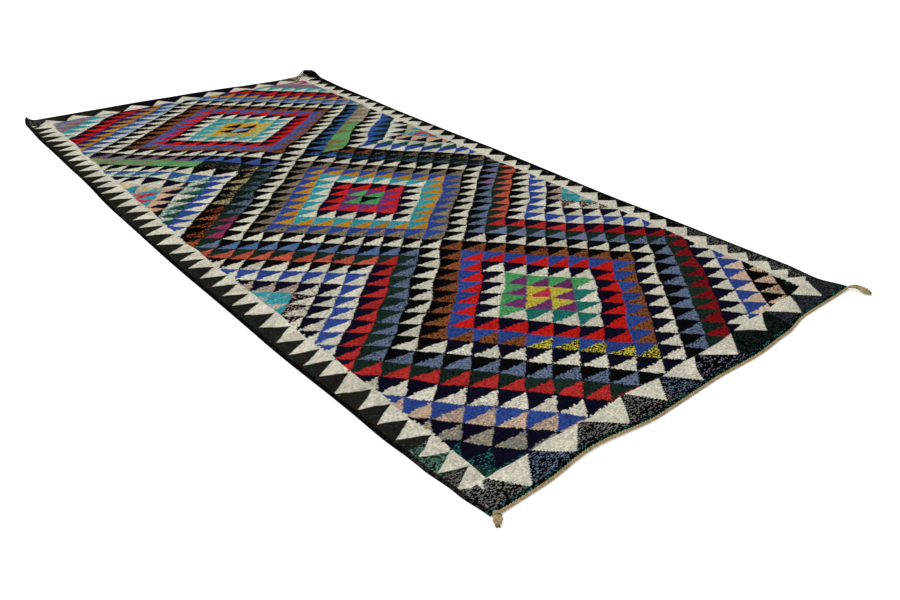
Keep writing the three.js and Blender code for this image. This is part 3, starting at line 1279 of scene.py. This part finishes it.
# %% Yarns of the dark sides
# places along the sides up to which other yarns are flecked in: grey in the near left corner, teal on the
# left, grey on the right
NEAR_CORNER = -1.225
TEAL_UP_TO = -0.50
GREY_UP_TO = -0.92
TEAL_DARKER = 0.5
GROUND_SCALE, GROUND_STRETCH = 3.2, 2.0
# where the cloud is thicker than this, the left side has more of its second yarn
CLOUDED = 0.58
LEFT_SHARES = (0.03, 0.15)
RIGHT_SHARES = (0.03, 0.27)
CORNER_SHARES = (0.22, 0.42)
# a jade yarn near that corner: its middle, its share there, how fast that falls along the rug, and to what
JADE_MIDDLE = -1.282
JADE_MOST = 0.50
JADE_FADE = 4.0
JADE_LEAST = 0.29

ground_cloud = cloud_at(flat_x * GROUND_STRETCH, flat_y, GROUND_SCALE)
by_near_left = more(NEAR_CORNER, loom_y) * (1.0 - on_right)
left_speck = over(more(TEAL_UP_TO, flat_y), dyed("umber"), dyed("teal", TEAL_DARKER))
side_speck = over(larger(by_near_left, on_right), left_speck, dyed("grey"))
left_share = ranged(more(ground_cloud, CLOUDED), LEFT_SHARES)
right_share = ranged(more(GREY_UP_TO, flat_y), RIGHT_SHARES)
side_share = chosen(on_right, left_share, right_share)
side_share = chosen(by_near_left, side_share, ranged(ground_cloud, CORNER_SHARES))
jade_share = JADE_MOST - size(flat_y - JADE_MIDDLE) * JADE_FADE
in_jade = by_near_left * more(jade_share, JADE_LEAST)
side_speck = over(in_jade, side_speck, dyed("jade"))
side_share = chosen(in_jade, side_share, jade_share)
print("sides in", len(chart.nodes), "nodes")

# %% Dark ground and cream teeth
CREAM_DARKER = 0.78

cream_dark = dyed("cream", CREAM_DARKER)
for mask, base, second, amount in (
    (in_side, over(on_right, dyed("soot"), dyed("black")), side_speck, side_share),
    (in_side * side_cream, dyed("cream"), cream_dark, PLAIN_SHARE),
    (in_far, dyed("black"), far_speck, far_share),
    (in_far * far_cream, dyed("cream"), cream_dark, PLAIN_SHARE),
    (in_near, dyed("black"), near_speck, near_share),
    (in_near * near_cream, dyed("cream"), cream_dark, PLAIN_SHARE),
):
    wool = over(mask, wool, base)
    speck = over(mask, speck, second)
    share = chosen(mask, share, amount)
print("teeth laid over the ground")

# %% Selvedge, end line and stitches
SELVEDGE_BAND = 0.010
END_BAND = 0.010
END_TEAL = 0.17
FLECK_LENGTH = 0.0036
ABRASH_SCALE, ABRASH_STRETCH, ABRASH_DETAIL = 22.0, 0.12, 2.0
# darkest and lightest shade by triangle, by lot of dye, by length of yarn and by stitch
TRIANGLE_SHADES = (0.88, 1.12)
ABRASH_SHADES = (0.85, 1.15)
FLECK_SHADES = (0.75, 1.23)
STITCH_SHADES = (0.83, 1.17)
# height of a rib where two wefts meet, and at the middle of one
WEFT_HEIGHTS = (0.6, 1.0)

on_selvedge = more(SELVEDGE_BAND, side_gap)
wool = over(on_selvedge, wool, dyed("black"))
speck = over(on_selvedge, speck, dyed("umber"))
on_end = more(END_BAND, end_gap) * more(0.0, flat_y)
wool = over(on_end, wool, dyed("black"))
speck = over(on_end, speck, dyed("teal"))
share = chosen(on_end, share, END_TEAL)

stitched = over(more(share, stitch_dice), wool, speck)
abrash = cloud_at(flat_x * ABRASH_STRETCH, flat_y, ABRASH_SCALE, ABRASH_DETAIL)
fleck = dice_at(rib_number, whole(flat_y / FLECK_LENGTH) + 0.5)
shade = ranged(triangle_dice, TRIANGLE_SHADES) * ranged(abrash, ABRASH_SHADES)
shade = shade * ranged(fleck, FLECK_SHADES)
shade = shade * ranged(dice_at(whole(weft_place), rib_number), STITCH_SHADES)
feed(chart, chart_out.inputs["Wool"], shaded(stitched, shade))
rib_across = rest(flat_x / RIB) * 2 - 1.0
weft_across = rest(weft_place) * 2 - 1.0
rib_bulge = 1.0 - rib_across * rib_across
weft_bulge = 1.0 - weft_across * weft_across
feed(chart, chart_out.inputs["Rib"], rib_bulge * ranged(weft_bulge, WEFT_HEIGHTS))
print("group", chart.name, "has", len(chart.nodes), "nodes")

# %% [markdown]
# ## Wool cloth
# The chart gives each stitch its colour and the bulge of the weft over each warp. The spun yarn group
# adds twist and fibres, to the bump and as painted shade in the colour. Grooves between the ribs catch
# less light, so painted shade also takes the colour down there a little. Wool is dull, with hardly any
# gloss.

# %% Material of the cloth
WOOL_TWIST = 0.0022
GROOVE_SHADES = (0.82, 1.12)
WOOL_ROUGHNESS = (0.84, 0.96)
TWIST_IN_BUMP = 0.25


def new_material(name):
    material = bpy.data.materials.new(name)
    material.use_nodes = True
    return material, material.node_tree


def map_place(tree, name):
    """Place on one of the piece's own maps."""
    node = tree.nodes.new("ShaderNodeUVMap")
    node.uv_map = name
    return Wire(tree, node.outputs[0])


def finish_surface(tree, colour, roughness, height, bump_strength, bump_depth, gloss):
    """Feeds the material's shader; the height goes in through a bump node."""
    surface = tree.nodes["Principled BSDF"]
    feed(tree, surface.inputs["Base Color"], colour)
    feed(tree, surface.inputs["Roughness"], roughness)
    bump = tree.nodes.new("ShaderNodeBump")
    bump.inputs["Strength"].default_value = bump_strength
    bump.inputs["Distance"].default_value = bump_depth
    feed(tree, bump.inputs["Height"], height)
    tree.links.new(bump.outputs["Normal"], surface.inputs["Normal"])
    surface.inputs["Specular IOR Level"].default_value = gloss


wool_cloth, tree = new_material("kilim_wool")
cloth_place = map_place(tree, "flat_cloth")
pattern = place_group(tree, chart, {"Place": cloth_place, "Edges": map_place(tree, "edge_gaps")})
cloth_x, cloth_y = apart(cloth_place)
spun = place_group(tree, yarn_group, {"Along": cloth_x / WOOL_TWIST, "Around": cloth_y / WEFT})
painted_groove_shade = ranged(pattern["Rib"], GROOVE_SHADES)
finish_surface(
    tree,
    # painted shade: darker in the grooves between the ribs and along the twist of the yarn
    colour=shaded(pattern["Wool"], painted_groove_shade * spun["Shade"]),
    roughness=ranged(spun["Height"], WOOL_ROUGHNESS),
    height=pattern["Rib"] + spun["Height"] * TWIST_IN_BUMP,
    bump_strength=0.7,
    bump_depth=0.0009,
    gloss=0.0,
)
cloth.data.materials.append(wool_cloth)
print("material", wool_cloth.name)

# %% [markdown]
# ## Warp yarn
# The plaits are warp yarn. The near one is tan, with blush and olive drifting along its strands, and the
# far one is dark. The yarn map gives every strand its own tint, because each one starts ten metres
# further along it.

# %% Material of the plaits
PLAIT_TWIST = 0.0042
PLAIT_ROUGHNESS = (0.78, 0.93)
STRAND_DICE = 0.5
DRIFT_SCALE, DRIFT_SLANT, DRIFT_DETAIL = 40.0, 0.3, 2.0
# share of blush over olive along a yarn, cut off at none and all, and of tan over both by strand
BLUSH_SHARES = (-0.7, 1.7)
TAN_SHARES = (0.15, 0.65)
FRAY_DARKER = 0.35
# where the drift is above this, the dark far plait has taupe in it
TAUPE_FROM = 0.60

warp_yarn, tree = new_material("warp_plait")
yarn_u, yarn_v = apart(map_place(tree, "yarn"))
spun = place_group(tree, yarn_group, {"Along": yarn_u / PLAIT_TWIST, "Around": yarn_v})
strand_dice = dice_at(whole(yarn_u / TINT_STEP), STRAND_DICE)
drift = cloud_at(yarn_u, yarn_u * DRIFT_SLANT, DRIFT_SCALE, DRIFT_DETAIL)
tone = over(ranged(drift, BLUSH_SHARES), dyed("olive"), dyed("blush"))
tone = over(ranged(strand_dice, TAN_SHARES), tone, dyed("tan"))
tone = shaded(tone, 1.0 - more(yarn_u, TINT_STEP * FIRST_FRAY_TINT) * FRAY_DARKER)
dark_tone = over(more(drift, TAUPE_FROM), dyed("umber"), dyed("taupe"))
tone = over(more(yarn_u, TINT_STEP * (DARK_TINT - 1)), tone, dark_tone)
finish_surface(
    tree,
    # painted shade along the twist and fibres of each strand
    colour=shaded(tone, spun["Shade"]),
    roughness=ranged(spun["Height"], PLAIT_ROUGHNESS),
    height=spun["Height"],
    bump_strength=0.8,
    bump_depth=0.0008,
    gloss=0.04,
)
for plait in (near_plait, far_plait):
    plait.data.materials.append(warp_yarn)
print("material", warp_yarn.name)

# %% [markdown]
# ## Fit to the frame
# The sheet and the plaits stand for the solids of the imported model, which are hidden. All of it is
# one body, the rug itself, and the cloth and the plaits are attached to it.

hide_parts("kilim_cloth")
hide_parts("near_end_plait")
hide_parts("far_end_plait")
for piece in (cloth, near_plait, far_plait):
    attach(piece, "root")
